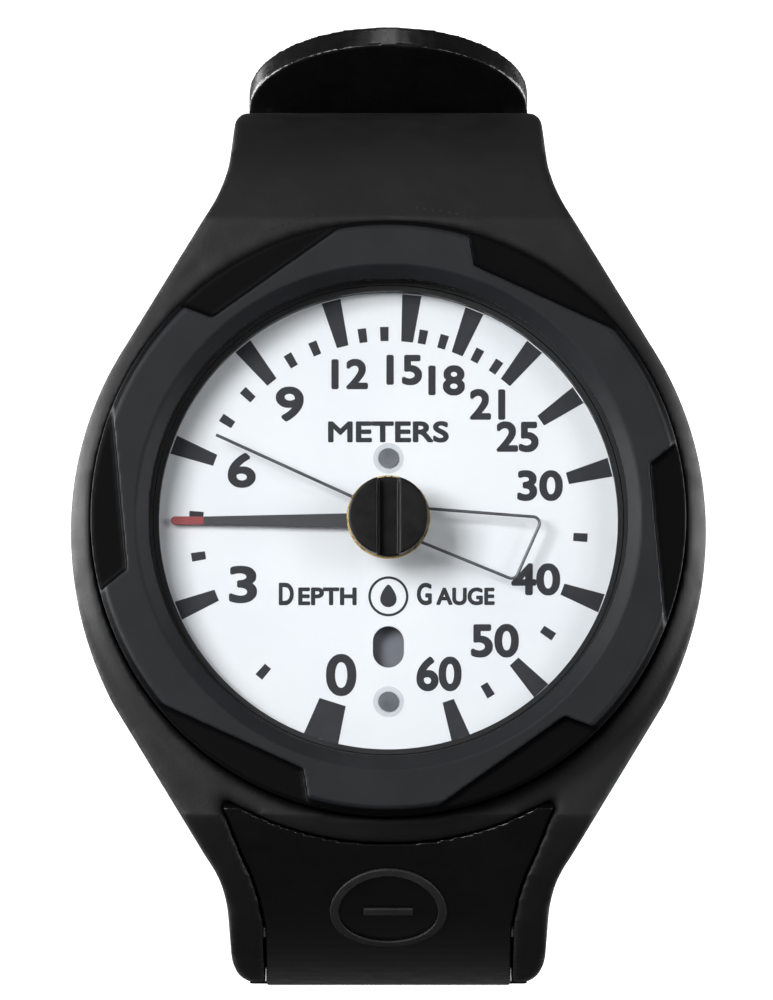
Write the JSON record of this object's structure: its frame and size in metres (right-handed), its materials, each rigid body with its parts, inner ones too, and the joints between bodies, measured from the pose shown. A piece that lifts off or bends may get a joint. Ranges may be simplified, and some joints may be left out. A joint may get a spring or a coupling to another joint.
{
  "type": "wrist depth gauge",
  "caption": "Analogue oil-filled depth gauge for divers, with dial, pointer and maximum-depth hand in a rubber wrist boot on a buckled strap.",
  "frame": {"origin": "on the pointer's axis, at the flat back face of the boot that rests on the wrist", "axes": "+Z towards 12 o'clock on the dial, +X to the dial's right, +Y from the dial towards the wrist"},
  "size_m": [0.0672, 0.0696, 0.1024],
  "materials": {
    "boot_rubber": "matte moulded",
    "strap_rubber": "satin to glossy moulded",
    "bezel_plastic": "matte, glossy grip recesses",
    "case_plastic": "matte",
    "lens_clear": "polished clear",
    "dial_white": "printed satin white",
    "pointer_paint": "satin dark grey with red tip",
    "wire_steel": "drawn wire",
    "knob_plastic": "semi gloss",
    "brass": "turned",
    "steel": "turned",
    "spring_bronze": "drawn",
    "seal_rubber": "satin",
    "badge_rubber": "matte"
  },
  "bodies": {
    "housing": {"boot": "boot_rubber", "bottom_strap_bar": "steel", "top_strap_bar": "steel", "long_strap": "strap_rubber", "short_strap": "strap_rubber", "strap_badge": "badge_rubber", "fixed_keeper": "strap_rubber", "case_body": "case_plastic", "back_cover": "case_plastic", "cover_spacer": "case_plastic", "cover_screws": "steel", "oil_fill_plug": "brass", "diaphragm_clamp": "steel", "pressure_diaphragm": "seal_rubber", "bezel_ring": "bezel_plastic", "lens": "lens_clear", "lens_gasket": "seal_rubber", "dial_rim": "case_plastic", "dial_plate": "dial_white", "dial_screws": "steel", "upper_plate": "brass", "lower_plate": "brass", "plate_pillars": "brass", "plate_screws": "steel", "movement_foot": "brass", "bourdon_tube": "spring_bronze", "tube_socket": "brass", "hairspring": "spring_bronze", "hairspring_stud": "brass", "knob_bush": "brass"},
    "sector": {"sector_gear": "brass", "sector_arbor": "steel", "link_pin": "steel"},
    "pointer": {"pointer_pinion": "brass", "pointer_arbor": "steel", "pointer_hub": "brass", "depth_pointer": "pointer_paint", "hairspring_collet": "brass"},
    "link": {"link": "brass"},
    "tube_tip": {"tube_tip_block": "brass"},
    "reset_hand": {"reset_knob": "knob_plastic", "knob_seal": "seal_rubber", "max_hand_hub": "brass", "max_depth_hand": "wire_steel"},
    "buckle": {"buckle_frame": "steel", "buckle_bar": "steel"},
    "prong": {"buckle_prong": "steel"},
    "keeper": {"sliding_keeper": "strap_rubber"}
  },
  "joints": [
    {"name": "sector_swing", "type": "hinge", "parent": "housing", "child": "sector", "pos_m": [-0.0045, 0, -0.00779], "axis": [0, 1, 0], "range_deg": [-27.8, 8.1], "stiffness_Nm_per_rad": 0.02},
    {"name": "pointer_turn", "type": "hinge", "parent": "housing", "child": "pointer", "pos_m": [0, 0, 0], "axis": [0, 1, 0], "range_deg": [-73, 251]},
    {"name": "link_swing", "type": "hinge", "parent": "sector", "child": "link", "pos_m": [-0.01049, 0, -0.00675], "axis": [0, 1, 0], "range_deg": [-8.2, 27.9]},
    {"name": "tube_tip_swing", "type": "hinge", "parent": "housing", "child": "tube_tip", "pos_m": [0.01401, 0, 0.0042], "axis": [0, 1, 0], "range_deg": [-7, 2.1], "deforming": ["bourdon_tube"]},
    {"name": "reset_knob_turn", "type": "hinge", "parent": "housing", "child": "reset_hand", "pos_m": [0, 0, 0], "axis": [0, 1, 0], "continuous": true},
    {"name": "buckle_lift", "type": "hinge", "parent": "housing", "child": "buckle", "pos_m": [0, 0.02508, 0.02691], "axis": [1, 0, 0], "range_deg": [0, 7]},
    {"name": "prong_lift", "type": "hinge", "parent": "buckle", "child": "prong", "pos_m": [0, 0.02508, 0.02691], "axis": [1, 0, 0], "range_deg": [0, 10]},
    {"name": "keeper_slide", "type": "slide", "parent": "housing", "child": "keeper", "axis": [0, -0.809, 0.5878], "range_m": [-0.001, 0.0025]}
  ],
  "couplings": [
    {"joint": "pointer_turn", "follows": "sector_swing", "ratio": -9},
    {"joint": "link_swing", "follows": "sector_swing", "ratio": -1},
    {"joint": "tube_tip_swing", "follows": "sector_swing", "ratio": 0.248}
  ]
}
